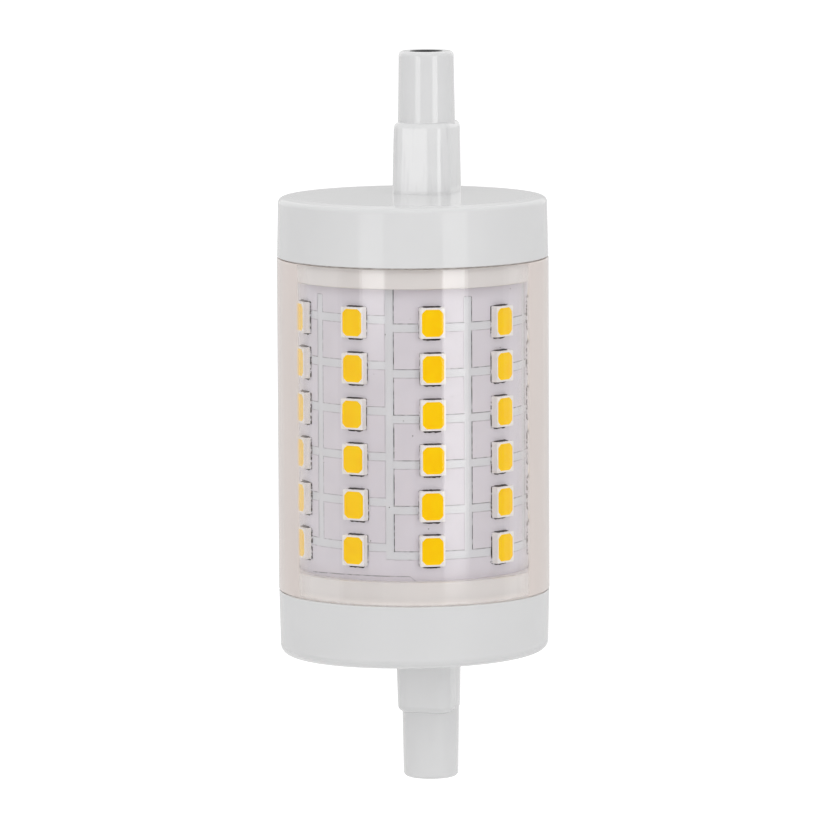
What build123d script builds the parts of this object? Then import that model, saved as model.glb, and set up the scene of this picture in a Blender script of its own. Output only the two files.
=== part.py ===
from build123d import *

import os
from math import cos, degrees, pi, radians, sin, sqrt

# Double-ended linear LED bulb. +Z runs along the body, the origin is at the middle of the body,
# and both contact stems stand off the body axis towards +Y.

os.makedirs("parts", exist_ok=True)

# Whole bulb
overall_length = 78.0  # from stem end to stem end
cover_diameter = 28.8
cover_wall = 0.8
seam_gap = 0.12  # shadow line between the cover and each cap
edge_facets = 2  # flat steps around each rounded edge of a cap

# End caps
cap_height = 6.65  # from the seam to the flat end
cap_inset = 0.08  # cap side inside the cover's outer face
cap_edge_radius = 0.75
crown_diameter = 23.3  # flat part of the end
crown_drop = 0.22  # fall of the rim outside the flat part
end_wall = 1.4
spigot_length = 2.3  # reach of the cap into the cover
spigot_fit = 0.1

# Contact stems
stem_offset = 5.65
block_length = 7.45
block_width = 6.2
block_depth = 7.1
block_corner = 1.4
block_edge_radius = 0.6
block_taper = 0.18  # narrower by this at the free end
block_shift_side = 0.1
block_shift_inward = 0.25
pin_length = 7.2
pin_diameter = 6.02
pin_edge_radius = 0.48
recess_diameter = 3.66
recess_depth = 4.5

# Contacts
contact_fit = 0.05
contact_head_diameter = 3.0
contact_head_height = 0.8
contact_tail_width = 1.0
contact_tail_reach = 1.2  # past the inside of the cap's end wall

# Rolled light board
board_gap = 1.5  # from the cover's inner face to the board
board_thickness = 0.4
board_fit = 0.1
board_end_gap = 0.1  # to the end wall of each cap
board_turn = 24.5  # middle column, degrees from -Y towards +X
seam_slit = 0.6
seam_margin = 0.8  # bare edge along each side of the slit

# Light packages
led_columns = 9
led_rows = 6
led_width = 2.7
led_length = 3.3
led_height = 0.8
led_end_margin = 1.75  # from the spigots to the end rows, before the drop
led_drop = 0.3  # rows lie this far below the middle of the cover
led_rim = 0.21  # housing left around the window, across
led_end_rim = 0.24  # housing left around the window, along
window_depth = 0.55

# Driver board and its rails
driver_thickness = 1.0
driver_side_gap = 0.8
driver_end_gap = 0.2
rail_depth = 2.5
rail_width = 2.5
rail_thickness = 1.0
rail_fit = 0.1

# Driver parts
part_gap = 1.0
bulk_diameter = 7.0
bulk_length = 13.0
choke_width = 6.5
choke_length = 7.0
choke_height = 6.0
choke_leg = 1.3
film_width = 4.0
film_length = 6.5
film_height = 5.5
fuse_width = 2.4
fuse_length = 6.4
fuse_height = 2.4
chip_width = 3.9
chip_length = 4.9
chip_height = 1.5
bridge_width = 4.0
bridge_length = 4.7
bridge_height = 1.4
sense_width = 1.6
sense_length = 3.2
sense_height = 0.6
sense_count = 3

# Leads and pins
supply_lead_width = 1.6
supply_lead_thickness = 0.6
supply_lead_length = 5.0
light_pin_width = 0.64
light_pin_inset = 2.4  # from the spigot's end
light_pin_fit = 0.02

# Heights and radii that follow from the sizes above
tip_z = overall_length / 2
block_z = tip_z - pin_length
end_z = block_z - block_length
inner_end_z = end_z - end_wall
seam_z = end_z - cap_height
spigot_z = seam_z - spigot_length
board_end_z = inner_end_z - board_end_gap
cover_radius = cover_diameter / 2
cover_bore = cover_radius - cover_wall
board_radius = cover_bore - board_gap
board_bore = board_radius - board_thickness
cap_bore = board_radius + board_fit
cap_radius = cover_radius - cap_inset
cap_rim_z = end_z - crown_drop
tail_hole_width = contact_tail_width + 2 * contact_fit
contact_seat_z = tip_z - recess_depth - contact_head_height
contact_tail_z = inner_end_z - contact_tail_reach
driver_face_y = stem_offset + contact_tail_width / 2 + contact_fit
driver_back_y = driver_face_y + driver_thickness
driver_width = 2 * (sqrt(board_bore**2 - driver_back_y**2) - driver_side_gap)
rail_x = (driver_width - rail_width) / 2
light_pin_z = spigot_z - light_pin_inset


def save(piece, name):
    piece.part.label = name
    export_step(piece.part, f"parts/{name}.step")


def rounding(radius):
    # Inset and drop of each step round an edge, from its side up to its top
    leans = [radians(90 * step / edge_facets) for step in range(edge_facets + 1)]
    return [(radius * (1 - cos(lean)), radius * (1 - sin(lean))) for lean in leans]


# End caps: a cup with a spigot, and the block and pin of the contact stem on its end
with BuildPart() as end_cap_upper:
    with BuildSketch(Plane.XY.offset(seam_z)):
        Circle(cap_radius)
    for inset, drop in rounding(cap_edge_radius):
        with BuildSketch(Plane.XY.offset(cap_rim_z - drop)):
            Circle(cap_radius - inset)
    with BuildSketch(Plane.XY.offset(end_z)):
        Circle(crown_diameter / 2)
    loft(ruled=True)

    block_centre = (block_shift_side, stem_offset - block_shift_inward)
    with BuildSketch(Plane.XY.offset(end_z)):
        with Locations(block_centre):
            RectangleRounded(block_width, block_depth, block_corner)
    for inset, drop in rounding(block_edge_radius):
        narrowing = block_taper + 2 * inset
        with BuildSketch(Plane.XY.offset(block_z - drop)):
            with Locations(block_centre):
                RectangleRounded(
                    block_width - narrowing, block_depth - narrowing, block_corner - inset
                )
    loft(ruled=True)

    # The pin runs the whole length of the block, which is a little narrower
    with BuildSketch(Plane.XY.offset(end_z)):
        with Locations((0, stem_offset)):
            Circle(pin_diameter / 2)
    for inset, drop in rounding(pin_edge_radius):
        with BuildSketch(Plane.XY.offset(tip_z - drop)):
            with Locations((0, stem_offset)):
                Circle(pin_diameter / 2 - inset)
    loft(ruled=True)

    with BuildSketch(Plane.XY.offset(spigot_z)):
        Circle(cover_bore - spigot_fit)
    extrude(amount=spigot_length)
    with BuildSketch(Plane.XY.offset(spigot_z)):
        Circle(cap_bore)
    extrude(amount=inner_end_z - spigot_z, mode=Mode.SUBTRACT)

    with Locations((0, stem_offset, tip_z)):
        CounterBoreHole(
            contact_head_diameter / 2 + contact_fit,
            recess_diameter / 2,
            recess_depth,
            recess_depth + contact_head_height,
        )
    with BuildSketch(Plane.XY.offset(inner_end_z)):
        with Locations((0, stem_offset)):
            Rectangle(tail_hole_width, tail_hole_width)
    extrude(amount=contact_seat_z - inner_end_z, mode=Mode.SUBTRACT)

    # Rails that hold the driver board
    with BuildSketch(Plane.XY.offset(inner_end_z - rail_depth)):
        with Locations((0, driver_face_y + driver_thickness / 2)):
            with GridLocations(2 * rail_x, driver_thickness + 2 * rail_fit + rail_thickness, 2, 2):
                Rectangle(rail_width, rail_thickness)
        Circle(board_bore - board_fit, mode=Mode.INTERSECT)
    extrude(amount=rail_depth)
save(end_cap_upper, "end_cap_upper")

with BuildPart() as end_cap_lower:
    add(end_cap_upper.part, rotation=(0, 180, 0))
save(end_cap_lower, "end_cap_lower")

# Contacts: a button let into the floor of each recess, with a tail through the stem
with BuildPart() as contact_upper:
    with BuildSketch(Plane.XY.offset(contact_seat_z)):
        with Locations((0, stem_offset)):
            Circle(contact_head_diameter / 2)
    extrude(amount=contact_head_height)
    with BuildSketch(Plane.XY.offset(contact_tail_z)):
        with Locations((0, stem_offset)):
            Rectangle(contact_tail_width, contact_tail_width)
    extrude(amount=contact_seat_z - contact_tail_z)
save(contact_upper, "contact_upper")

with BuildPart() as contact_lower:
    add(contact_upper.part, rotation=(0, 180, 0))
save(contact_lower, "contact_lower")

# Clear cover between the caps
with BuildPart() as clear_cover:
    with BuildSketch():
        Circle(cover_radius)
        Circle(cover_bore, mode=Mode.SUBTRACT)
    extrude(amount=seam_z - seam_gap, both=True)
save(clear_cover, "clear_cover")

# Light board: a sheet rolled round until its edges almost meet, opposite the middle column
middle_angle = board_turn - 90
with BuildPart() as led_board:
    with BuildSketch():
        Circle(board_radius)
        Circle(board_bore, mode=Mode.SUBTRACT)
        with PolarLocations(board_radius, 1, start_angle=middle_angle + 180):
            Rectangle(4 * board_thickness, seam_slit, mode=Mode.SUBTRACT)
    extrude(amount=board_end_z, both=True)
save(led_board, "led_board")

# Light packages: columns share the sheet's width evenly, rows share the length between the spigots
sheet_width = 2 * pi * board_radius - seam_slit - 2 * seam_margin
column_step = degrees(sheet_width / led_columns / board_radius)
row_pitch = (2 * spigot_z - 2 * led_end_margin - led_length) / (led_rows - 1)

for column in range(led_columns):
    angle = middle_angle + (column - (led_columns - 1) / 2) * column_step
    outward = Vector(cos(radians(angle)), sin(radians(angle)), 0)
    across = Vector(-sin(radians(angle)), cos(radians(angle)), 0)
    top_centre = outward * (board_radius + led_height) - Vector(0, 0, led_drop)
    top_plane = Plane(top_centre, x_dir=across, z_dir=outward)

    with BuildPart() as led_phosphor:
        with BuildSketch(top_plane) as windows:
            with GridLocations(led_width, row_pitch, 1, led_rows):
                Rectangle(led_width - 2 * led_rim, led_length - 2 * led_end_rim)
        extrude(amount=-window_depth)
    save(led_phosphor, f"led_phosphor_{column + 1}")

    with BuildPart() as led_housings:
        with BuildSketch(top_plane):
            with GridLocations(led_width, row_pitch, 1, led_rows):
                Rectangle(led_width, led_length)
        extrude(amount=-led_height)
        extrude(windows.sketch, amount=-window_depth, mode=Mode.SUBTRACT)
    save(led_housings, f"led_housings_{column + 1}")

# Driver board beside the contact tails, its ends in the rails of both caps
face_plane = Plane((0, driver_face_y, 0), x_dir=(1, 0, 0), z_dir=(0, -1, 0))
back_plane = Plane((0, driver_back_y, 0), x_dir=(-1, 0, 0), z_dir=(0, 1, 0))
with BuildPart() as driver_board:
    with BuildSketch(back_plane):
        Rectangle(driver_width, 2 * (inner_end_z - driver_end_gap))
    extrude(amount=-driver_thickness)
save(driver_board, "driver_board")

# Tall parts on the inner face: the smoothing capacitor on one half, the rest down the other half
bulk_x = -driver_width / 4
tall_x = driver_width / 4
choke_z = (part_gap + choke_length) / 2
film_z = -(part_gap + film_length) / 2
fuse_z = choke_z + choke_length / 2 + part_gap + fuse_width / 2

with BuildPart() as bulk_capacitor:
    with BuildSketch():
        with Locations((bulk_x, driver_face_y - bulk_diameter / 2)):
            Circle(bulk_diameter / 2)
    extrude(amount=bulk_length / 2, both=True)
save(bulk_capacitor, "bulk_capacitor")

# Choke: a ferrite frame with a middle leg, and the winding on that leg
coil_width = choke_width - 2 * choke_leg
coil_length = choke_length - 2 * choke_leg
with BuildPart() as choke_core:
    with BuildSketch(face_plane):
        with Locations((tall_x, choke_z)):
            Rectangle(choke_width, choke_length)
            Rectangle(coil_width, coil_length, mode=Mode.SUBTRACT)
            Rectangle(choke_leg, coil_length)
    extrude(amount=choke_height)
save(choke_core, "choke_core")

with BuildPart() as choke_winding:
    with BuildSketch(face_plane):
        with Locations((tall_x, choke_z)):
            Rectangle(coil_width, coil_length)
            Rectangle(choke_leg, coil_length, mode=Mode.SUBTRACT)
    extrude(amount=choke_height)
save(choke_winding, "choke_winding")

with BuildPart() as film_capacitor:
    with BuildSketch(face_plane):
        with Locations((tall_x, film_z)):
            Rectangle(film_width, film_length)
    extrude(amount=film_height)
save(film_capacitor, "film_capacitor")

with BuildPart() as fuse_resistor:
    with BuildSketch(face_plane):
        with Locations((tall_x, fuse_z)):
            Rectangle(fuse_length, fuse_width)
    extrude(amount=fuse_height)
save(fuse_resistor, "fuse_resistor")

# Flat parts on the outer face
with BuildPart() as bridge_rectifier:
    with BuildSketch(back_plane):
        with Locations((0, (part_gap + bridge_length) / 2)):
            Rectangle(bridge_width, bridge_length)
    extrude(amount=bridge_height)
save(bridge_rectifier, "bridge_rectifier")

with BuildPart() as driver_chip:
    with BuildSketch(back_plane):
        with Locations((0, -(part_gap + chip_length) / 2)):
            Rectangle(chip_width, chip_length)
    extrude(amount=chip_height)
save(driver_chip, "driver_chip")

with BuildPart() as sense_resistors:
    with BuildSketch(back_plane):
        with Locations((driver_width / 4 + part_gap, 0)):
            with GridLocations(sense_length, sense_width + part_gap, 1, sense_count):
                Rectangle(sense_length, sense_width)
    extrude(amount=sense_height)
save(sense_resistors, "sense_resistors")

# Supply leads: flat strips that carry on from the contact tails and lie on the driver board
with BuildPart() as supply_lead_upper:
    with BuildSketch(Plane.XY.offset(contact_tail_z)):
        with Locations((0, driver_face_y - supply_lead_thickness / 2)):
            Rectangle(supply_lead_width, supply_lead_thickness)
    extrude(amount=-supply_lead_length)
save(supply_lead_upper, "supply_lead_upper")

with BuildPart() as supply_lead_lower:
    add(supply_lead_upper.part, rotation=(0, 180, 0))
save(supply_lead_lower, "supply_lead_lower")

# Light pins: square pins from the driver board straight out to the light board
light_pin_end = sqrt(board_bore**2 - (light_pin_width / 2) ** 2) - light_pin_fit
with BuildPart() as light_pin_upper:
    with BuildSketch(back_plane):
        with Locations((0, light_pin_z)):
            Rectangle(light_pin_width, light_pin_width)
    extrude(amount=light_pin_end - driver_back_y)
save(light_pin_upper, "light_pin_upper")

with BuildPart() as light_pin_lower:
    add(light_pin_upper.part, rotation=(0, 180, 0))
save(light_pin_lower, "light_pin_lower")
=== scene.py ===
import random
from math import acos, atan2, cos, pi, radians, sin, sqrt, tan

import bpy
from mathutils import Matrix, Vector


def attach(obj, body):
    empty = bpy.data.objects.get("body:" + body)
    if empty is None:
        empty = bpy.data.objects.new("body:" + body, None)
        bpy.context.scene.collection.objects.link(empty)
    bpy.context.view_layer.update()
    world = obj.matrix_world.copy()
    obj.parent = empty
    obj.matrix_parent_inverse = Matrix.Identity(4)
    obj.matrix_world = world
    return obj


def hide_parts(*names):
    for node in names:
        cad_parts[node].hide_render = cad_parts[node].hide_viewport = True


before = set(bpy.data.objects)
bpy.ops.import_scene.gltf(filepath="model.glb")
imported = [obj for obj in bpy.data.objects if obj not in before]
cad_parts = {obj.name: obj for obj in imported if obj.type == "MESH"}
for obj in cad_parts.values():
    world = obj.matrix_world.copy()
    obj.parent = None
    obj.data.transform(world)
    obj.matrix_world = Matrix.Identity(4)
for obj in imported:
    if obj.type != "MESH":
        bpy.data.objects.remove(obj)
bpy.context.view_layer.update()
mm = 0.001
print("frame loaded:", len(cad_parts), "nodes")


class Wire:
    # one shader socket: arithmetic on it adds the nodes that work it out
    def __init__(self, tree, socket=None):
        self.tree = tree
        self.socket = socket

    def add(self, kind, settings=None, inputs=None, output=0):
        node = self.tree.nodes.new("ShaderNode" + kind)
        for name, value in (settings or {}).items():
            setattr(node, name, value)
        for name, value in (inputs or {}).items():
            if isinstance(value, Wire):
                self.tree.links.new(value.socket, node.inputs[name])
            elif node.inputs[name].type == "RGBA":
                node.inputs[name].default_value = (*value, 1)
            else:
                node.inputs[name].default_value = value
        return Wire(self.tree, node.outputs[output] if len(node.outputs) else None)

    def outputs(self):  # every output of this socket's node, by name
        return {socket.name: Wire(self.tree, socket) for socket in self.socket.node.outputs}

    def axes(self):  # x, y and z of a vector
        return list(self.add("SeparateXYZ", {}, {0: self}).outputs().values())

    def maths(self, operation, *sides):
        if all(not isinstance(side, Wire) or side.socket.type == "VALUE" for side in sides):
            return self.add("Math", {"operation": operation}, dict(enumerate(sides)))
        sides = [(side,) * 3 if isinstance(side, (int, float)) else side for side in sides]
        return self.add("VectorMath", {"operation": operation}, dict(enumerate(sides)))

    def __add__(self, other):
        return self.maths("ADD", self, other)

    def __radd__(self, other):
        return self.maths("ADD", other, self)

    def __sub__(self, other):
        return self.maths("SUBTRACT", self, other)

    def __rsub__(self, other):
        return self.maths("SUBTRACT", other, self)

    def __mul__(self, other):
        return self.maths("MULTIPLY", self, other)

    def __rmul__(self, other):
        return self.maths("MULTIPLY", other, self)

    def __pow__(self, other):
        return self.maths("POWER", self, other)

    def __rpow__(self, other):
        return self.maths("POWER", other, self)

    def __abs__(self):
        return self.maths("ABSOLUTE", self)

    def most(self, other):
        return self.maths("MAXIMUM", self, other)

    def ramp(self, low, high, unit=1):  # 0 at low, 1 at high, smooth between
        return self.add("MapRange", {"interpolation_type": "SMOOTHSTEP"},
                        {"Value": self, "From Min": low * unit, "From Max": high * unit})

    def tint(self, first, second):  # first colour where this is 0, second where it is 1
        return self.add("Mix", {"data_type": "RGBA"}, {0: self, 6: first, 7: second}, 2)


def newFinish(name):
    finish = bpy.data.materials.new(name)
    finish.use_nodes = True
    finish.node_tree.nodes.clear()
    return finish, Wire(finish.node_tree)


def partPlace(paint):  # place on the part, in metres of the shared frame
    return paint.add("TexCoord", output="Object")


def fromAxis(x, y):
    return (x * x + y * y) ** 0.5


def grain(paint, place, size, detail, rough=0.5):  # noise whose spots are about size across
    inputs = {"Vector": place, "Scale": 1 / size, "Detail": detail, "Roughness": rough}
    return paint.add("TexNoise", {}, inputs)


def relief(paint, height, depth, strength=1.0, under=None):  # under is a finer relief that this one lies over
    inputs = {"Height": height, "Distance": depth, "Strength": strength}
    if under:
        inputs["Normal"] = under
    return paint.add("Bump", {}, inputs)


def coated(paint, **sockets):  # one Principled surface
    names = {"baseColor": "Base Color", "roughness": "Roughness", "metallic": "Metallic", "normal": "Normal",
             "ior": "IOR", "coat": "Coat Weight", "coatRoughness": "Coat Roughness", "glow": "Emission Color",
             "glowStrength": "Emission Strength"}
    return paint.add("BsdfPrincipled", {}, {names[key]: value for key, value in sockets.items()})


def show(paint, shader):
    paint.add("OutputMaterial", {}, {"Surface": shader})


def times(colour, share):
    return tuple(share * part for part in colour)


# Mesh tools, in millimetres

longRun = 0.5  # a straight run longer than this gets points near its ends, which keep its shading true
holdOff = 0.05  # how near


def eased(corners, steps):
    # corners are (r, z, rounding); a corner with a rounding becomes an arc
    points = []
    for index, (r, z, rounding) in enumerate(corners):
        here = Vector((r, z))
        if not rounding:
            points.append((r, z))
            continue
        back = (Vector(corners[index - 1][:2]) - here).normalized()
        ahead = (Vector(corners[index + 1][:2]) - here).normalized()
        half = acos(max(-1, min(1, back.dot(ahead)))) / 2
        centre = here + (back + ahead).normalized() * rounding / sin(half)
        start = here + back * rounding / tan(half) - centre
        end = here + ahead * rounding / tan(half) - centre
        first = atan2(start.y, start.x)
        turn = (atan2(end.y, end.x) - first + pi) % (2 * pi) - pi
        for step in range(steps + 1):
            angle = first + turn * step / steps
            points.append((centre.x + rounding * cos(angle), centre.y + rounding * sin(angle)))

    held = []
    for here, ahead in zip(points, points[1:]):
        held.append(here)
        run = Vector(ahead) - Vector(here)
        if run.length > longRun:
            step = run.normalized() * holdOff
            held += [tuple(Vector(here) + step), tuple(Vector(ahead) - step)]
    return held + points[-1:]


def turned(profile, steps, centre=(0, 0)):
    verts, faces, rings = [], [], []
    angles = [2 * pi * step / steps for step in range(steps)]
    for r, z in profile:
        if r == 0:
            rings.append([len(verts)] * steps)
            verts.append((centre[0], centre[1], z))
            continue
        rings.append([len(verts) + step for step in range(steps)])
        verts += [(centre[0] + r * cos(angle), centre[1] + r * sin(angle), z) for angle in angles]
    for low, high in zip(rings, rings[1:]):
        for step in range(steps):
            ahead = (step + 1) % steps
            faces.append(list(dict.fromkeys((low[step], low[ahead], high[ahead], high[step]))))
    return verts, faces


def lofted(outlines, closeLast=True):
    count = len(outlines[0])
    verts = [point for outline in outlines for point in outline]
    faces = []
    for level in range(len(outlines) - 1):
        low, high = level * count, (level + 1) * count
        for step in range(count):
            ahead = (step + 1) % count
            faces.append((low + step, low + ahead, high + ahead, high + step))
    faces.append(tuple(reversed(range(count))))
    if closeLast:
        faces.append(tuple(range((len(outlines) - 1) * count, len(outlines) * count)))
    return verts, faces


def softRectangle(width, depth, corners, bulge=0.0, cornerSteps=3, sideSteps=4, cut=1.0):
    # corners go anticlockwise from the back right one; bulge swells the middle of each side, and the corners
    # are round with a cut of 1 and straight across with a cut of 2
    points = []
    for quarter in range(4):
        wide, deep = (width, depth) if quarter % 2 == 0 else (depth, width)
        turn = Matrix.Rotation(quarter * pi / 2, 2)
        corner = corners[quarter]
        low, high = corners[quarter - 1] - deep / 2, deep / 2 - corner
        for step in range(sideSteps):  # along the right-hand side, then round its far corner
            share = step / sideSteps
            across = wide / 2 + 4 * bulge * share * (1 - share)
            points.append(turn @ Vector((across, low + (high - low) * share)))
        for step in range(cornerSteps):
            angle = step / cornerSteps * pi / 2
            across = wide / 2 - corner + corner * cos(angle) ** cut
            points.append(turn @ Vector((across, high + corner * sin(angle) ** cut)))
    return points


def joined(*shells):
    verts, faces = [], []
    for shellVerts, shellFaces in shells:
        faces += [tuple(len(verts) + index for index in face) for face in shellFaces]
        verts += list(shellVerts)
    return verts, faces


def makePiece(name, shell, finish, replaced=(), sharp=35, place=None):
    verts, faces = shell
    mesh = bpy.data.meshes.new(name)
    mesh.from_pydata([Vector(vert) * mm for vert in verts], [], faces)
    if place:
        mesh.transform(place)
    mesh.update()
    mesh.polygons.foreach_set("use_smooth", [True] * len(mesh.polygons))
    mesh.set_sharp_from_angle(angle=radians(sharp))
    mesh.materials.append(finish)
    piece = bpy.data.objects.new(name, mesh)
    bpy.context.scene.collection.objects.link(piece)
    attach(piece, "root")
    if replaced:
        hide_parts(*replaced)
    return piece


# End caps: cup, block and pin are one white gloss moulding

cap = {
    "seamRadius": 14.37, "seamRounding": 0.07, "rimRadius": 14.22, "rimDrop": 0.15,
    "crownRadius": 12.5, "crownRounding": 0.5, "bore": 12.2, "innerEnd": 22.95, "innerRounding": 0.3,
    "spigotRadius": 13.5, "spigotEnd": 15.4, "spigotRoundings": (0.12, 0.15),
    "stemOffset": 5.65, "stemRoot": 0.4, "tip": 39.0, "pinRadius": (3.17, 2.92), "pinRounding": 0.48,
    "recessRadius": 1.83, "recessDepth": 4.5, "recessRoundings": (0.12, 0.1),
    "seatRadius": 1.55, "seatHeight": 33.7,
    "blockSize": (6.3, 7.1), "blockCentre": (0.07, 5.4), "blockCorners": (1.4, 2.6, 1.4, 2.0),
    "blockRounding": 0.6, "blockBulge": 0.035, "blockLean": 0.3,
    "blockTapers": (0, 0.06, 0.12, 0.18),  # how much narrower it is at four levels, from its foot to its top
    "taperLevels": (2.5, 2.4),  # the two levels between, above the end face and below the top
    # heights between which a mark or tone sets in, in mm from the middle of the bulb
    "coatFrom": (23.9, 24.1), "dragFrom": (24.0, 24.1), "blockFrom": (24.15, 24.4), "blockTo": (31.0, 31.3),
    "recessFrom": (33.0, 33.2), "recessTo": (38.93, 38.99),
    # the same in mm past the seam, then out from the axis of the bulb and of the pin
    "spigotTo": (-0.2, 0.0), "seamLineFrom": (-0.25, -0.1), "seamLineTo": (0.005, 0.04),
    "footLightFrom": (-0.8, -0.05), "footLightTo": (-0.02, 0.0), "seamLineOut": (13.42, 13.5), "recessOut": (1.84, 1.93),
    # colours and gloss
    "colour": (0.75, 0.75, 0.753), "shade": (0.73, 0.73, 0.734), "spigot": (0.90, 0.868, 0.855),
    "blockPaintedLight": (0.785, 0.785, 0.788), "dragMark": (0.735, 0.735, 0.74),
    "seamDarkLine": (0.36, 0.31, 0.28), "lowerSeamShare": 0.25, "footPaintedLight": (0.165, 0.156, 0.15),
    "recessShade": (0.035, 0.034, 0.036), "recessRough": 0.3,
    "roughness": (0.05, 0.09), "ior": 1.40, "stemCoat": 1.0, "coatRoughness": 0.05,
    "waveDepth": 0.03, "skinDepth": 0.0015,
}
capEnds = {  # heights of seam, end face and block, rounding of the rim, slope of the end, degrees of turn
    "upper": {"seam": 17.7, "end": 24.03, "block": 31.50, "rim": 0.55, "lean": 0.0, "twist": 0.0},
    "lower": {"seam": 17.88, "end": 24.63, "block": 31.80, "rim": 1.05, "lean": 0.014, "twist": -1.8},
}


def cupShell(made):
    seam, end = made["seam"], made["end"]
    innerEase, outerEase = cap["spigotRoundings"]
    verts, faces = turned(eased([
        (0, cap["innerEnd"], 0), (cap["bore"], cap["innerEnd"], cap["innerRounding"]),
        (cap["bore"], cap["spigotEnd"], innerEase), (cap["spigotRadius"], cap["spigotEnd"], outerEase),
        (cap["spigotRadius"], seam, 0), (cap["seamRadius"], seam, cap["seamRounding"]),
        (cap["rimRadius"], end - cap["rimDrop"], made["rim"]),
        (cap["crownRadius"], end, cap["crownRounding"]), (0, end, 0),
    ], 10), 224)
    return [(x, y, z + made["lean"] * x * max(0, z - seam) / (end - seam)) for x, y, z in verts], faces


def blockShell(made):
    end, top = made["end"], made["block"]
    rounding = cap["blockRounding"]
    aboveEnd, belowTop = cap["taperLevels"]
    heights = (end - cap["stemRoot"], end + aboveEnd, top - belowTop, top - rounding - holdOff)
    levels = [(height, taper, 0) for height, taper in zip(heights, cap["blockTapers"])]
    for step in range(9):  # round over the free end
        bend = radians(90 * step / 8)
        levels.append((top - rounding * (1 - sin(bend)), cap["blockTapers"][-1], rounding * (1 - cos(bend))))
    centre = Vector((*cap["blockCentre"], 0))
    outlines = []
    for height, taper, inset in levels:
        width, depth = (side - taper - 2 * inset for side in cap["blockSize"])
        back = cap["blockLean"] * (height - end) / (top - end)  # the front face leans back
        corners = [corner - inset for corner in cap["blockCorners"]]
        outline = softRectangle(width, depth - back, corners, cap["blockBulge"], 8, 8)
        outlines.append([centre + Vector((point.x, point.y + back / 2, height)) for point in outline])
    return lofted(outlines)


def pinShell(made):
    footRadius, tipRadius = cap["pinRadius"]
    mouthEase, bottomEase = cap["recessRoundings"]
    tip, bottom = cap["tip"], cap["tip"] - cap["recessDepth"]
    return turned(eased([
        (footRadius, made["end"] - cap["stemRoot"], 0), (tipRadius, tip, cap["pinRounding"]),
        (cap["recessRadius"], tip, mouthEase), (cap["recessRadius"], bottom, bottomEase),
        (cap["seatRadius"], bottom, 0), (cap["seatRadius"], cap["seatHeight"], 0), (0, cap["seatHeight"], 0),
    ], 8), 112, (0, cap["stemOffset"]))


def capFinish():
    finish, paint = newFinish("white gloss moulding")
    place = partPlace(paint)
    x, y, z = place.axes()
    up = abs(z)
    cloud = grain(paint, place, 9 * mm, 2)
    colour = cloud.ramp(0.3, 0.7).tint(cap["shade"], cap["colour"])

    # painted light: the spigot inside the cover is drawn warmer and lighter than the cup, making up for the
    # light that the cover and rim take from it, and the block on the end is drawn paler
    upperSeam, lowerSeam = (capEnds[side]["seam"] * mm for side in ("upper", "lower"))
    lowerSide = paint.maths("LESS_THAN", z, 0.0)
    pastSeam = up - upperSeam - lowerSide * (lowerSeam - upperSeam)
    colour = pastSeam.ramp(*cap["spigotTo"], mm).tint(cap["spigot"], colour)
    onBlock = up.ramp(*cap["blockFrom"], mm) * (1 - up.ramp(*cap["blockTo"], mm))
    # painted highlight: the block is drawn paler than the rest of the moulding
    colour = onBlock.tint(colour, cap["blockPaintedLight"])

    # a dark brown patchy line is drawn in the seam against the clear cover, fainter in the lower one
    inSeam = pastSeam.ramp(*cap["seamLineFrom"], mm) * (1 - pastSeam.ramp(*cap["seamLineTo"], mm))
    inSeam = inSeam * fromAxis(x, y).ramp(*cap["seamLineOut"], mm) * (1 - lowerSide * (1 - cap["lowerSeamShare"]))
    patchy = grain(paint, place, 1.1 * mm, 4, 0.65).ramp(0.3, 0.7)
    colour = (inSeam * patchy).tint(colour, cap["seamDarkLine"])

    # painted light: a small glow lifts the shaded corner at the foot of the lower seam, behind the clear wall
    footLightMask = lowerSide * pastSeam.ramp(*cap["footLightFrom"], mm) * (1 - pastSeam.ramp(*cap["footLightTo"], mm))
    glow = footLightMask.tint((0, 0, 0), cap["footPaintedLight"])

    # the recess is dark inside, below its polished mouth
    inRecess = 1 - fromAxis(x, y - cap["stemOffset"] * mm).ramp(*cap["recessOut"], mm)
    inRecess = inRecess * up.ramp(*cap["recessFrom"], mm) * (1 - up.ramp(*cap["recessTo"], mm))
    colour = inRecess.tint(colour, cap["recessShade"])

    # faint drag marks on the upper block, slow waves from the mould on upright walls, and a fine skin
    drag = grain(paint, place * (1, 1, 0.07), 0.8 * mm, 2).ramp(0.54, 0.66)
    colour = (z.ramp(*cap["dragFrom"], mm) * onBlock * drag).tint(colour, cap["dragMark"])
    upward = abs(paint.add("NewGeometry", output="Normal").axes()[2])
    waves = (1 - upward.ramp(0.3, 0.7)) * grain(paint, place * (1, 1, 0.25), 3.2 * mm, 1.5)
    skin = relief(paint, grain(paint, place, 0.35 * mm, 2), cap["skinDepth"] * mm, 0.5)
    low, high = cap["roughness"]
    show(paint, coated(paint, baseColor=colour, ior=cap["ior"], glow=glow, glowStrength=1.0,
                       roughness=cloud * (high - low) + low + inRecess * cap["recessRough"],
                       normal=relief(paint, waves, cap["waveDepth"] * mm, under=skin),
                       coat=up.ramp(*cap["coatFrom"], mm) * cap["stemCoat"],
                       coatRoughness=cap["coatRoughness"]))
    return finish


capPlastic = capFinish()
for side, turn in (("upper", 0), ("lower", pi)):
    made = capEnds[side]
    placed = Matrix.Rotation(radians(made["twist"]), 4, "Z") @ Matrix.Rotation(turn, 4, "Y")
    moulding = joined(cupShell(made), blockShell(made), pinShell(made))
    makePiece("cap" + side.title(), moulding, capPlastic, ["end_cap_" + side], 40, placed)
print("end caps made")


# Clear cover: a polished tube, beige along its edges where the wall is seen end on

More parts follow.
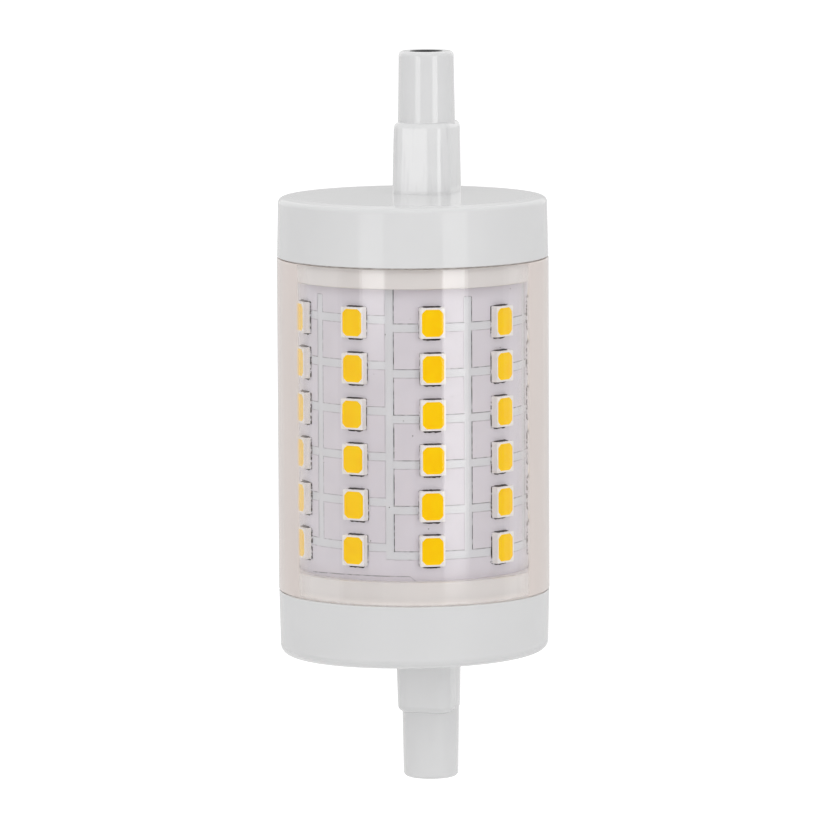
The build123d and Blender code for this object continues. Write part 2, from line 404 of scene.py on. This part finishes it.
cover = {
    "radius": 14.4, "bore": 13.6, "seamGap": 0.12, "rounding": 0.14, "outside": (13.9, 14.1),
    "clear": (1.0, 0.998, 0.996), "edge": (0.765, 0.687, 0.652),
    "haze": 0.32, "hazeFrom": 0.34, "edgeFrom": 0.46, "edgeTo": 0.495,  # by how far the wall turns away
    "mirror": 0.038, "roughness": 0.03, "rippleDepth": 0.008,
}


def coverFinish():
    finish, paint = newFinish("clear polished plastic")
    place = partPlace(paint)
    x, y = place.axes()[:2]
    outside = fromAxis(x, y).ramp(*cover["outside"], mm)
    facing = paint.add("LayerWeight", {}, {"Blend": 0.5}, "Facing")
    through = paint.add("BsdfTransparent", {}, {"Color": cover["clear"]})
    drift = grain(paint, place * (1, 1, 0.3), 6 * mm, 3).ramp(0.3, 0.7)
    wall = paint.add("BsdfDiffuse", {}, {"Color": drift.tint(times(cover["edge"], 0.97), cover["edge"])})
    haze = facing.ramp(cover["hazeFrom"], cover["edgeFrom"]) * cover["haze"]
    haze = haze + facing.ramp(cover["edgeFrom"], cover["edgeTo"]) * (1 - cover["haze"])
    body = paint.add("MixShader", {}, {0: haze * outside, 1: through, 2: wall})
    ripples = relief(paint, grain(paint, place * (1, 1, 0.15), 5 * mm, 1), cover["rippleDepth"] * mm)
    gloss = paint.add("BsdfGlossy", {}, {"Color": (1, 1, 1), "Roughness": cover["roughness"],
                                         "Normal": ripples})
    mirror = facing ** 5 * (1 - cover["mirror"]) + cover["mirror"]
    show(paint, paint.add("MixShader", {}, {0: mirror, 1: body, 2: gloss}))
    return finish


def coverShell():
    inner, outer, rounding = cover["bore"], cover["radius"], cover["rounding"]
    top = capEnds["upper"]["seam"] - cover["seamGap"]
    foot = cover["seamGap"] - capEnds["lower"]["seam"]
    return turned(eased([
        (inner, 0, 0), (inner, foot, rounding), (outer, foot, rounding),
        (outer, top, rounding), (inner, top, rounding), (inner, 0, 0),
    ], 5), 224)


makePiece("clearCover", coverShell(), coverFinish(), ["clear_cover"], 40)
print("clear cover made")


# Light board: solder mask over copper fields

board = {
    "radius": 12.1, "columns": 9, "step": 38.84, "middle": -65.5,  # step and middle column in degrees
    "rows": 6, "pitch": 4.80, "drop": 0.3, "top": 15.9, "bottom": -15.9, "joinHeight": 14.35,
    "bandWidth": 4.0, "bandOffsets": {3: -4.2, 4: -1.4, 5: -0.1, 6: 6.0},  # degrees, past the halfway line
    "rowGap": 0.80, "rowShifts": (0.385, -0.46), "shiftFrom": 5,  # the second shift is for this column and on
    "stripSteps": {4: 0.8},  # how much lower the shared strip ends to the right of a column
    "trace": [(-136, -15.25), (-120, -15.05), (-102, -14.94), (-76.4, -14.94), (-73.4, -15.46)],
    "traceHalf": 0.08, "traceDark": 0.8, "lift": 0.03, "traceLift": 0.04,
    "lineWidth": 0.07, "lineFade": 0.05, "joinShade": 0.4,
    # painted shadow along the field edges, darkest on the left and low side as if lit from the upper right:
    # how dark the left, right, low and high edge of a column's fields are drawn, strongly if it isn't named
    "shadedEdges": {3: (0.6, 0.2, 0.5, 0.3), 4: (0.5, 0.2, 0.4, 0.3)}, "strongShadedEdges": (1.0, 0.25, 0.7, 0.35),
    "bare": (0.79, 0.796, 0.832), "copper": (0.79, 0.755, 0.815),
    # one dark colour draws the painted shadow along the field edges and the etched trace
    "line": (0.06, 0.06, 0.065), "speck": (0.06, 0.045, 0.04),
}


def columnAngle(column):  # columns count from 1
    return board["middle"] + (column - (board["columns"] + 1) / 2) * board["step"]


def rowHeight(row):  # rows count from 1 at the top
    return ((board["rows"] + 1) / 2 - row) * board["pitch"] - board["drop"]


def boardFinish(name, colour, lined):
    finish, paint = newFinish(name)
    place = partPlace(paint)
    cloud = grain(paint, place, 4 * mm, 3)
    tone = cloud.ramp(0.25, 0.75).tint(times(colour, 0.965), times(colour, 1.02))
    specks = paint.add("TexVoronoi", {}, {"Vector": place, "Scale": 1 / (1.05 * mm)}, "Distance")
    chosen = grain(paint, place, 2.2 * mm, 2).ramp(0.53, 0.58)
    tone = ((1 - specks.ramp(0.035, 0.075)) * chosen).tint(tone, board["speck"])
    if lined:
        # painted shadow drawn along the copper field edges, broken up, together with the dark etched trace
        edge = paint.add("Attribute", {"attribute_name": "edgeShadeAndTrace"}, {}, "Fac")
        broken = grain(paint, place, 0.5 * mm, 3, 0.6).ramp(0.32, 0.6) * 0.75 + 0.25
        tone = (edge * broken).tint(tone, board["line"])
    weave = relief(paint, grain(paint, place, 0.16 * mm, 2), 0.003 * mm)
    show(paint, coated(paint, baseColor=tone, roughness=cloud * 0.12 + 0.38, normal=weave))
    return finish


def onBoard(angle, height, lift):  # angle in degrees round the axis
    r = board["radius"] + lift
    return (r * cos(radians(angle)), r * sin(radians(angle)), height)


def lineSteps(low, high, unit, span):
    # places from low to high, with a line and its fade set off at each end
    line, fade = board["lineWidth"] * unit, (board["lineWidth"] + board["lineFade"]) * unit
    count = max(1, round((high - low) / span))
    inner = [low + fade + (high - low - 2 * fade) * step / count for step in range(count + 1)]
    return [low, low + line] + inner + [high - line, high]


def copperField(fields, left, right, low, high, shadedEdges):
    # one field of copper, the four edge numbers (left, right, low, high) give how dark the painted shadow
    # along each edge is drawn
    angles = lineSteps(left, right, 180 / pi / board["radius"], 2.5)
    heights = lineSteps(low, high, 1, 1.2)
    start = len(fields["verts"])
    for row, height in enumerate(heights):
        for column, angle in enumerate(angles):
            edge = max(shadedEdges[0] * (column < 2), shadedEdges[1] * (column > len(angles) - 3),
                       shadedEdges[2] * (row < 2), shadedEdges[3] * (row > len(heights) - 3))
            fields["verts"].append(onBoard(angle, height, board["lift"]))
            fields["edges"].append(edge)
    wide = len(angles)
    for row in range(len(heights) - 1):
        for column in range(wide - 1):
            corner = start + row * wide + column
            fields["faces"].append((corner, corner + 1, corner + wide + 1, corner + wide))


def traceLine(fields, points):
    # a thin etched line through points given as angle and height
    half, dark = board["traceHalf"], board["traceDark"]
    for (angle, height), (angleNext, heightNext) in zip(points, points[1:]):
        steps = max(1, round(abs(angleNext - angle) / 2.5))
        for step in range(steps):
            start = len(fields["verts"])
            for share in (step / steps, (step + 1) / steps):
                turn = angle + (angleNext - angle) * share
                level = height + (heightNext - height) * share
                for side, edge in ((-half, 0), (0, dark), (half, 0)):
                    fields["verts"].append(onBoard(turn, level + side, board["traceLift"]))
                    fields["edges"].append(edge)
            for corner in (start, start + 1):
                fields["faces"].append((corner, corner + 3, corner + 4, corner + 1))


def makeFields():
    fields = {"verts": [], "faces": [], "edges": []}
    halfStep, halfBand, halfGap = board["step"] / 2, board["bandWidth"] / 2, board["rowGap"] / 2
    top, bottom, join = board["top"], board["bottom"], board["joinHeight"]
    bands = {column: columnAngle(column) + halfStep + board["bandOffsets"].get(column, 0)
             for column in range(0, board["columns"] + 1)}
    for column in range(1, board["columns"] + 1):
        left, right = bands[column - 1] + halfBand, bands[column] - halfBand
        nextLeft = bands[column] + halfBand
        isLast = column == board["columns"]
        shift = board["rowShifts"][0 if column < board["shiftFrom"] else 1]
        shadedEdges = board["shadedEdges"].get(column, board["strongShadedEdges"])
        cuts = [rowHeight(row) + shift for row in range(1, board["rows"] + 1)]
        for upper, lower in zip(cuts, cuts[1:]):
            copperField(fields, left, right, lower + halfGap, upper - halfGap, shadedEdges)
        # the top fields of two neighbours run together above the band between them
        joinsNext = column % 2 == 1
        copperField(fields, left, right, cuts[0] + halfGap, join, (*shadedEdges[:3], 0))
        copperField(fields, left, right, join, top, (shadedEdges[0] if joinsNext else 0, 0, 0, 0))
        if joinsNext and not isLast:
            copperField(fields, right, nextLeft, join, top, (0, 0, board["joinShade"], 0))
        # below the last row all columns share one strip
        stripTop = cuts[-1] - halfGap
        copperField(fields, left, right, bottom, stripTop, (0, 0, 0, shadedEdges[3]))
        if not isLast:
            stripTop -= board["stripSteps"].get(column, 0)
            copperField(fields, right, nextLeft, bottom, stripTop, (0, 0, 0, shadedEdges[3]))
    traceLine(fields, board["trace"])
    copper = boardFinish("mask over copper", board["copper"], True)
    piece = makePiece("copperFields", (fields["verts"], fields["faces"]), copper)
    edge = piece.data.attributes.new("edgeShadeAndTrace", "FLOAT", "POINT")
    edge.data.foreach_set("value", fields["edges"])


makeFields()
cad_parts["led_board"].data.materials.clear()
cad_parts["led_board"].data.materials.append(boardFinish("mask over laminate", board["bare"], False))
print("light board made")


# Light packages: white housing, yellow fill, and the solder that holds each one

package = {
    "width": 2.7, "length": 3.3, "height": 0.8, "corner": 0.12, "draft": 0.06, "edge": 0.06,
    "window": (2.32, 2.88), "windowCorner": 0.46, "windowCut": 1.7, "windowSlope": 0.06,
    "windowDepth": 0.3, "windowEdge": (0.02, 0.03),
    "fillGap": 0.04, "fillDepth": 0.04, "fillDip": 0.03, "fillFoot": 0.25,
    "solderWidth": 2.04, "solderUnder": 0.06, "solderSink": 0.01, "solderSteps": 15,
    "solderReach": (0.28, 0.10), "solderHeight": (0.18, 0.56),  # at the lower and the upper end
    "skirt": {2: 0.08, 3: 0.08, 6: 0.03, 7: 0.05}, "thinSkirt": 0.02,  # dark flux and painted shade beyond the foot, by column
    "skirtCorner": 0.15, "skirtLevels": ((-0.09, 1.0), (0.04, 1.0), (0.07, 0.2)),  # lift, share of the dark line
    "turns": {4: 0.2, 5: 0.4, 6: 0.8},  # degrees that a column sits off its even place
    "slips": {  # how far each package of a column sits above its row, from the top one down
        4: (0.06, 0.02, 0.0, 0.05, 0.02, 0.0),
        5: (0.1, 0.05, 0.0, 0.05, 0.0, 0.08),
        6: (-0.16, -0.1, -0.08, -0.11, -0.05, -0.1),
    },
    "strays": {  # how far it sits to the side
        4: (0.0, 0.05, -0.08, 0.04, 0.1, 0.0),
        5: (0.0, 0.06, 0.04, 0.03, -0.09, -0.08),
    },
    "housing": (0.97, 0.955, 0.955), "housingPaintedLight": (0.05, 0.048, 0.046),
    "fill": (0.96, 0.59, 0.002), "fillDeep": (0.94, 0.53, 0.001), "fillPaintedGlow": (0.22, 0.155, 0.0),
    # the dark solder tone also serves as painted shade in the gaps under the housings
    "solderShadeDark": (0.012, 0.005, 0.003), "solderPale": (0.14, 0.085, 0.065), "solderTones": (0.58, 0.74),
}
chance = random.Random(11)


def upright(points, out, seat):  # an outline across and along a package, stood at a distance from the axis
    return [(out, seat[0] + point.x, seat[1] + point.y) for point in points]


def windowOutline(wide, tall, corner):
    return softRectangle(wide, tall, [corner] * 4, cut=package["windowCut"])


def housingShell(seat):
    foot, top = board["radius"], board["radius"] + package["height"]
    draft, edge = package["draft"], package["edge"]
    rings = []
    for out, narrow in ((foot, 0), (top - edge, draft), (top - 0.3 * edge, draft + 0.6 * edge),
                        (top, draft + 2 * edge)):
        wide, tall = package["width"] - narrow, package["length"] - narrow
        outline = softRectangle(wide, tall, [package["corner"]] * 4)
        rings.append(upright(outline, out, seat))
    wide, tall = package["window"]
    bottom = (package["windowDepth"], 2 * package["windowSlope"])
    for depth, narrow in ((0, 0), package["windowEdge"], bottom):
        outline = windowOutline(wide - narrow, tall - narrow, package["windowCorner"])
        rings.append(upright(outline, top - depth, seat))
    return lofted(rings, closeLast=False)


def fillShell(seat):
    top = board["radius"] + package["height"] - package["fillDepth"]
    wide, tall = (side - package["fillGap"] for side in package["window"])
    dip = package["fillDip"]
    rings = []
    for share, drop in ((1, package["fillFoot"]), (1, 0), (0.93, 0.4 * dip), (0.75, 0.8 * dip), (0.4, dip)):
        outline = windowOutline(wide * share, tall * share, package["windowCorner"] * share)
        rings.append(upright(outline, top - drop, seat))
    return lofted(rings)


def solderShells(seat):  # a strip below the package and one above it
    shells = []
    count, under = package["solderSteps"], package["solderUnder"]
    for end, longest, tallest in zip((-1, 1), package["solderReach"], package["solderHeight"]):
        middle = seat[1] + end * (package["length"] / 2 - under)
        rings = []
        for step in range(count):
            share = step / (count - 1) * 2 - 1
            across = seat[0] + share * package["solderWidth"] / 2
            swell = sqrt(max(0.05, 1 - share ** 8)) * chance.uniform(0.8, 1.1)
            reach, tall = longest * swell + under, tallest * swell
            base = sqrt(board["radius"] ** 2 - across ** 2) - package["solderSink"]
            ring = [(base, 0), (base, reach), (base + tall * 0.25, reach * 0.86),
                    (base + tall * 0.6, reach * 0.6), (base + tall, reach * 0.4), (base + tall, 0)]
            rings.append([(out, across, middle + end * along) for out, along in ring])
        if end < 0:
            rings.reverse()
        shells.append(lofted(rings))
    return shells


def skirtShell(seat, spread):  # thin dark line round the foot of the housing: flux, and painted shade where it meets the board
    rings = []
    for lift, share in package["skirtLevels"]:
        grow = 2 * spread * share
        corners = [package["skirtCorner"]] * 4
        outline = softRectangle(package["width"] + grow, package["length"] + grow, corners)
        rings.append(upright(outline, board["radius"] + lift, seat))
    return lofted(rings)


def housingFinish():
    finish, paint = newFinish("white package moulding")
    place = partPlace(paint)
    cloud = grain(paint, place, 1.2 * mm, 3)
    colour = cloud.ramp(0.3, 0.7).tint(times(package["housing"], 0.95), package["housing"])
    skin = relief(paint, grain(paint, place, 0.12 * mm, 2), 0.004 * mm)
    show(paint, coated(paint, baseColor=colour, roughness=cloud * 0.15 + 0.35, normal=skin,
                       glow=package["housingPaintedLight"], glowStrength=1.0))  # painted light: a small glow lifts the white housing
    return finish


def fillFinish():
    finish, paint = newFinish("yellow phosphor silicone")
    place = partPlace(paint)
    cloud = grain(paint, place, 1.6 * mm, 2)
    powder = grain(paint, place, 0.07 * mm, 2)
    colour = (cloud * 0.65 + powder * 0.35).ramp(0.35, 0.62).tint(package["fillDeep"], package["fill"])
    show(paint, coated(paint, baseColor=colour, roughness=cloud * 0.1 + 0.4, ior=1.1,
                       normal=relief(paint, powder, 0.006 * mm),
                       glow=package["fillPaintedGlow"], glowStrength=1.0))  # painted light: a fixed glow stands in for the phosphor turning blue light yellow
    return finish


def solderFinish():
    finish, paint = newFinish("dull solder with painted shade")
    place = partPlace(paint)
    cloud = grain(paint, place, 0.4 * mm, 4, 0.6)
    # solder drawn near black, which also stands in for the shade in the gap under the housing edges
    colour = cloud.ramp(*package["solderTones"]).tint(package["solderShadeDark"], package["solderPale"])
    lumps = relief(paint, grain(paint, place, 0.18 * mm, 3), 0.02 * mm)
    show(paint, coated(paint, baseColor=colour, roughness=0.75 - cloud * 0.3, normal=lumps,
                       metallic=cloud.ramp(0.6, 0.8) * 0.5))
    return finish


def fluxShadeFinish():
    finish, paint = newFinish("dried flux and painted shade")
    beads = grain(paint, partPlace(paint), 0.42 * mm, 3, 0.6)
    # dark beads of flux, which also draw painted shade at the housing's foot
    colour = beads.ramp(0.42, 0.54).tint(board["copper"], package["solderShadeDark"])
    show(paint, coated(paint, baseColor=colour, roughness=0.6 - beads * 0.2))
    return finish


def packageSeats(column):  # place across and height of each package, from the top one down
    even = (0,) * board["rows"]
    slips, strays = (package[key].get(column, even) for key in ("slips", "strays"))
    return [(stray, rowHeight(row) + slip) for row, (slip, stray) in enumerate(zip(slips, strays), 1)]


whiteHousing, yellowFill = housingFinish(), fillFinish()
solderWithShade, fluxAndShade = solderFinish(), fluxShadeFinish()
for column in range(1, board["columns"] + 1):
    swing = Matrix.Rotation(radians(columnAngle(column) + package["turns"].get(column, 0)), 4, "Z")
    seats = packageSeats(column)
    spread = package["skirt"].get(column, package["thinSkirt"])
    housings = joined(*[housingShell(seat) for seat in seats])
    fills = joined(*[fillShell(seat) for seat in seats])
    solders = joined(*[shell for seat in seats for shell in solderShells(seat)])
    skirts = joined(*[skirtShell(seat, spread) for seat in seats])
    makePiece(f"ledHousings{column}", housings, whiteHousing,
              [f"led_housings_{column}"], 35, swing)
    makePiece(f"ledFill{column}", fills, yellowFill,
              [f"led_phosphor_{column}"], 50, swing)
    makePiece(f"ledSolder{column}", solders, solderWithShade, (), 50, swing)
    makePiece(f"ledFluxShade{column}", skirts, fluxAndShade, (), 50, swing)
print("light packages made")


# Inside parts keep their solids and get their own finishes

inside = {
    "contact_upper": "plate", "contact_lower": "plate",
    "light_pin_upper": "plate", "light_pin_lower": "plate",
    "supply_lead_upper": "plate", "supply_lead_lower": "plate",
    "driver_board": "laminate", "bulk_capacitor": "sleeve",
    "choke_core": "ferrite", "choke_winding": "winding",
    "film_capacitor": "dipped", "fuse_resistor": "ceramic",
    "bridge_rectifier": "chip", "driver_chip": "chip", "sense_resistors": "chip",
}
insideLooks = {  # colour pair, spot size in mm, roughness pair, metal, relief in mm
    "plate": ((0.58, 0.56, 0.52), (0.74, 0.72, 0.67), 0.5, (0.22, 0.42), 1.0, 0.004),
    "laminate": ((0.012, 0.085, 0.035), (0.02, 0.14, 0.06), 3.0, (0.3, 0.5), 0.0, 0.006),
    "sleeve": ((0.012, 0.014, 0.028), (0.02, 0.024, 0.045), 2.5, (0.25, 0.4), 0.0, 0.008),
    "ferrite": ((0.022, 0.021, 0.020), (0.055, 0.052, 0.05), 0.4, (0.55, 0.8), 0.0, 0.02),
    "winding": ((0.30, 0.09, 0.025), (0.50, 0.17, 0.05), 0.8, (0.25, 0.4), 0.75, 0.01),
    "dipped": ((0.36, 0.035, 0.018), (0.46, 0.06, 0.03), 2.0, (0.18, 0.3), 0.0, 0.02),
    "ceramic": ((0.62, 0.60, 0.56), (0.74, 0.72, 0.68), 0.6, (0.6, 0.8), 0.0, 0.02),
    "chip": ((0.014, 0.014, 0.016), (0.03, 0.03, 0.033), 0.3, (0.45, 0.65), 0.0, 0.008),
}
insideMarks = {  # sizes in mm
    "wirePitch": 0.3, "grooveShade": (0.10, 0.03, 0.01),
    "trackPitch": 9, "trackWidth": 0.04, "track": (0.04, 0.22, 0.10),  # the width is a share of the pitch
    "stripePlace": -7.2, "stripeHalf": (0.45, 0.5), "stripe": (0.5, 0.52, 0.56),
    "softWidth": 0.08, "softAngle": 50, "weld": 0.002,
}


def insideFinish(look):
    dark, pale, size, (smooth, rough), metal, depth = insideLooks[look]
    finish, paint = newFinish("inside " + look)
    place = partPlace(paint)
    x, _, z = place.axes()
    cloud = grain(paint, place, size * mm, 4)
    colour = cloud.ramp(0.3, 0.7).tint(dark, pale)
    height = cloud
    if look == "winding":  # turns of wire, with painted shade in the grooves between them
        height = paint.maths("SINE", z * (2 * pi / (insideMarks["wirePitch"] * mm)))
        colour = height.ramp(-0.9, 0.4).tint(insideMarks["grooveShade"], colour)
    if look == "laminate":  # copper tracks under the mask
        flat = paint.add("CombineXYZ", {}, {0: x, 1: z})
        height = paint.add("TexBrick", {"offset": 0.37}, {
            "Vector": flat, "Scale": 1 / (insideMarks["trackPitch"] * mm),
            "Mortar Size": insideMarks["trackWidth"], "Mortar": (1, 1, 1),
            "Color1": (0, 0, 0), "Color2": (0, 0, 0)})
        colour = height.tint(colour, insideMarks["track"])
    if look == "sleeve":  # pale polarity stripe down the side
        stripe = 1 - abs(x - insideMarks["stripePlace"] * mm).ramp(*insideMarks["stripeHalf"], mm)
        colour = stripe.tint(colour, insideMarks["stripe"])
    show(paint, coated(paint, baseColor=colour, roughness=cloud * (rough - smooth) + smooth, metallic=metal,
                       normal=relief(paint, height, depth * mm)))
    return finish


insideFinishes = {look: insideFinish(look) for look in insideLooks}
for node, look in inside.items():
    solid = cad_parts[node]
    solid.data.materials.clear()
    solid.data.materials.append(insideFinishes[look])
    weld = solid.modifiers.new("weld", "WELD")
    weld.merge_threshold = insideMarks["weld"] * mm
    soften = solid.modifiers.new("soften", "BEVEL")
    soften.width = insideMarks["softWidth"] * mm
    soften.segments = 2
    soften.limit_method = "ANGLE"
    soften.angle_limit = radians(insideMarks["softAngle"])
print("inside parts finished")


# Stage: pale floor well below the held bulb, soft dome, two strip softboxes with dark flags beside them

view = {  # in metres, millimetres of lens and degrees
    "azimuth": 15.72, "distance": 0.783, "height": 0.0953, "aim": (0.00005, 0.00002, 0.00076),
    "lens": 323.0, "sensor": 36.0, "roll": 0.28, "clip": (0.01, 20),
}
studio = {
    "floorHeight": -0.125, "floorHalf": 4.0, "floorColour": (0.80, 0.80, 0.80), "floorLift": 0.40,
    "domeLow": 0.67, "domeHigh": 0.92, "domeRise": (0.0, 0.9), "rightGain": -0.05,
    "backGain": 0.40, "backRise": (0.3, 0.85), "backDip": (0.93, 0.99), "dipShare": 1.1,
    "glossShare": 0.1, "fadedLevel": 0.06,
    "softboxes": {  # degrees from the camera, heights the lower part fades in between, level
        "Left": {"turns": (-45.5, -24.6), "fade": (-0.067, -0.041), "level": 2.1},
        "Right": {"turns": (25.6, 47.0), "fade": (-0.108, -0.085), "level": 2.4},
    },
    "softboxAway": 0.6, "softboxSplit": 0.14, "softboxTop": 0.55,  # above the split it leaves no mirror image
    "flags": {  # degrees from the camera, distance, level
        "flagRight": {"turns": (47.1, 88.0), "away": 0.6, "level": 0.3},
        "flagLeft": {"turns": (-66.0, -45.6), "away": 0.6, "level": 0.3},
        "flag": {"turns": (-24.4, 25.4), "away": 0.61, "level": 0.06},
    },
    "panelFoot": -0.124, "flagTop": -0.030,
}


def seenPlain(paint):  # 1 for what the camera sees directly or through clear parts, a little for reflections
    ray = paint.add("LightPath").outputs()
    direct = ray["Is Camera Ray"].most(ray["Is Transmission Ray"])
    return direct.most(ray["Is Glossy Ray"] * studio["glossShare"])


def stagePiece(name, corners, finish):
    mesh = bpy.data.meshes.new(name)
    mesh.from_pydata(corners, [], [(0, 1, 2, 3)])
    mesh.materials.append(finish)
    piece = bpy.data.objects.new(name, mesh)
    bpy.context.scene.collection.objects.link(piece)
    return piece


def makeFloor():
    finish, paint = newFinish("pale floor")
    pale = studio["floorColour"]
    mottle = grain(paint, partPlace(paint), 0.2, 2).ramp(0.3, 0.7)
    matt = paint.add("BsdfDiffuse", {}, {"Color": mottle.tint(times(pale, 0.985), pale)})
    seen = seenPlain(paint).tint((0, 0, 0), (1, 1, 1))
    lift = paint.add("Emission", {}, {"Color": seen, "Strength": studio["floorLift"]})
    show(paint, paint.add("AddShader", {}, {0: matt, 1: lift}))
    half, height = studio["floorHalf"], studio["floorHeight"]
    corners = [(-half, -half, height), (half, -half, height), (half, half, height), (-half, half, height)]
    stagePiece("floor", corners, finish)


def makePanel(name, turns, away, low, high, level, fade=None):
    finish, paint = newFinish(name)
    glow = (1, 1, 1)
    if fade:
        faded = (studio["fadedLevel"] / level,) * 3
        glow = partPlace(paint).axes()[2].ramp(*fade).tint(faded, glow)
    show(paint, paint.add("Emission", {}, {"Color": glow, "Strength": level}))
    corners = []
    for turn, height in ((turns[0], low), (turns[1], low), (turns[1], high), (turns[0], high)):
        angle = radians(view["azimuth"] + turn)
        corners.append((away * sin(angle), -away * cos(angle), height))
    panel = stagePiece(name, corners, finish)
    panel.visible_camera = False
    return panel


def makePanels():
    foot, split, away = studio["panelFoot"], studio["softboxSplit"], studio["softboxAway"]
    for side, box in studio["softboxes"].items():
        makePanel("softbox" + side, box["turns"], away, foot, split, box["level"], box["fade"])
        overhead = makePanel("overhead" + side, box["turns"], away, split, studio["softboxTop"], box["level"])
        overhead.visible_glossy = False
    for name, flag in studio["flags"].items():
        makePanel(name, flag["turns"], flag["away"], foot, studio["flagTop"], flag["level"])


def makeDome():
    world = bpy.data.worlds.new("studio")
    bpy.context.scene.world = world
    world.use_nodes = True
    world.node_tree.nodes.clear()
    paint = Wire(world.node_tree)
    x, y, z = paint.add("TexCoord", output="Generated").axes()
    angle = radians(view["azimuth"])
    side = x * cos(angle) + y * sin(angle)  # to the camera's right
    away = y * cos(angle) - x * sin(angle)  # to the backdrop behind the part
    level = z.ramp(*studio["domeRise"]) * (studio["domeHigh"] - studio["domeLow"]) + studio["domeLow"]
    level = level + side * studio["rightGain"]
    behind = away.ramp(*studio["backRise"]) - away.ramp(*studio["backDip"]) * studio["dipShare"]
    grey = (level + behind * studio["backGain"]).tint((0, 0, 0), (1, 1, 1))
    sky = paint.add("Background", {}, {"Color": seenPlain(paint).tint(grey, (1, 1, 1)), "Strength": 1.0})
    paint.add("OutputWorld", {}, {"Surface": sky})


def makeCamera():
    angle = radians(view["azimuth"])
    lens = bpy.data.cameras.new("camera")
    lens.lens, lens.sensor_width = view["lens"], view["sensor"]
    lens.clip_start, lens.clip_end = view["clip"]
    camera = bpy.data.objects.new("camera", lens)
    bpy.context.scene.collection.objects.link(camera)
    camera.location = (view["distance"] * sin(angle), -view["distance"] * cos(angle), view["height"])
    look = (Vector(view["aim"]) - camera.location).to_track_quat("-Z", "Y").to_matrix()
    camera.rotation_euler = (look @ Matrix.Rotation(radians(-view["roll"]), 3, "Z")).to_euler()
    bpy.context.scene.camera = camera


makeFloor()
makePanels()
makeDome()
makeCamera()
bpy.context.scene.view_settings.view_transform = "Standard"
print("stage and camera made")
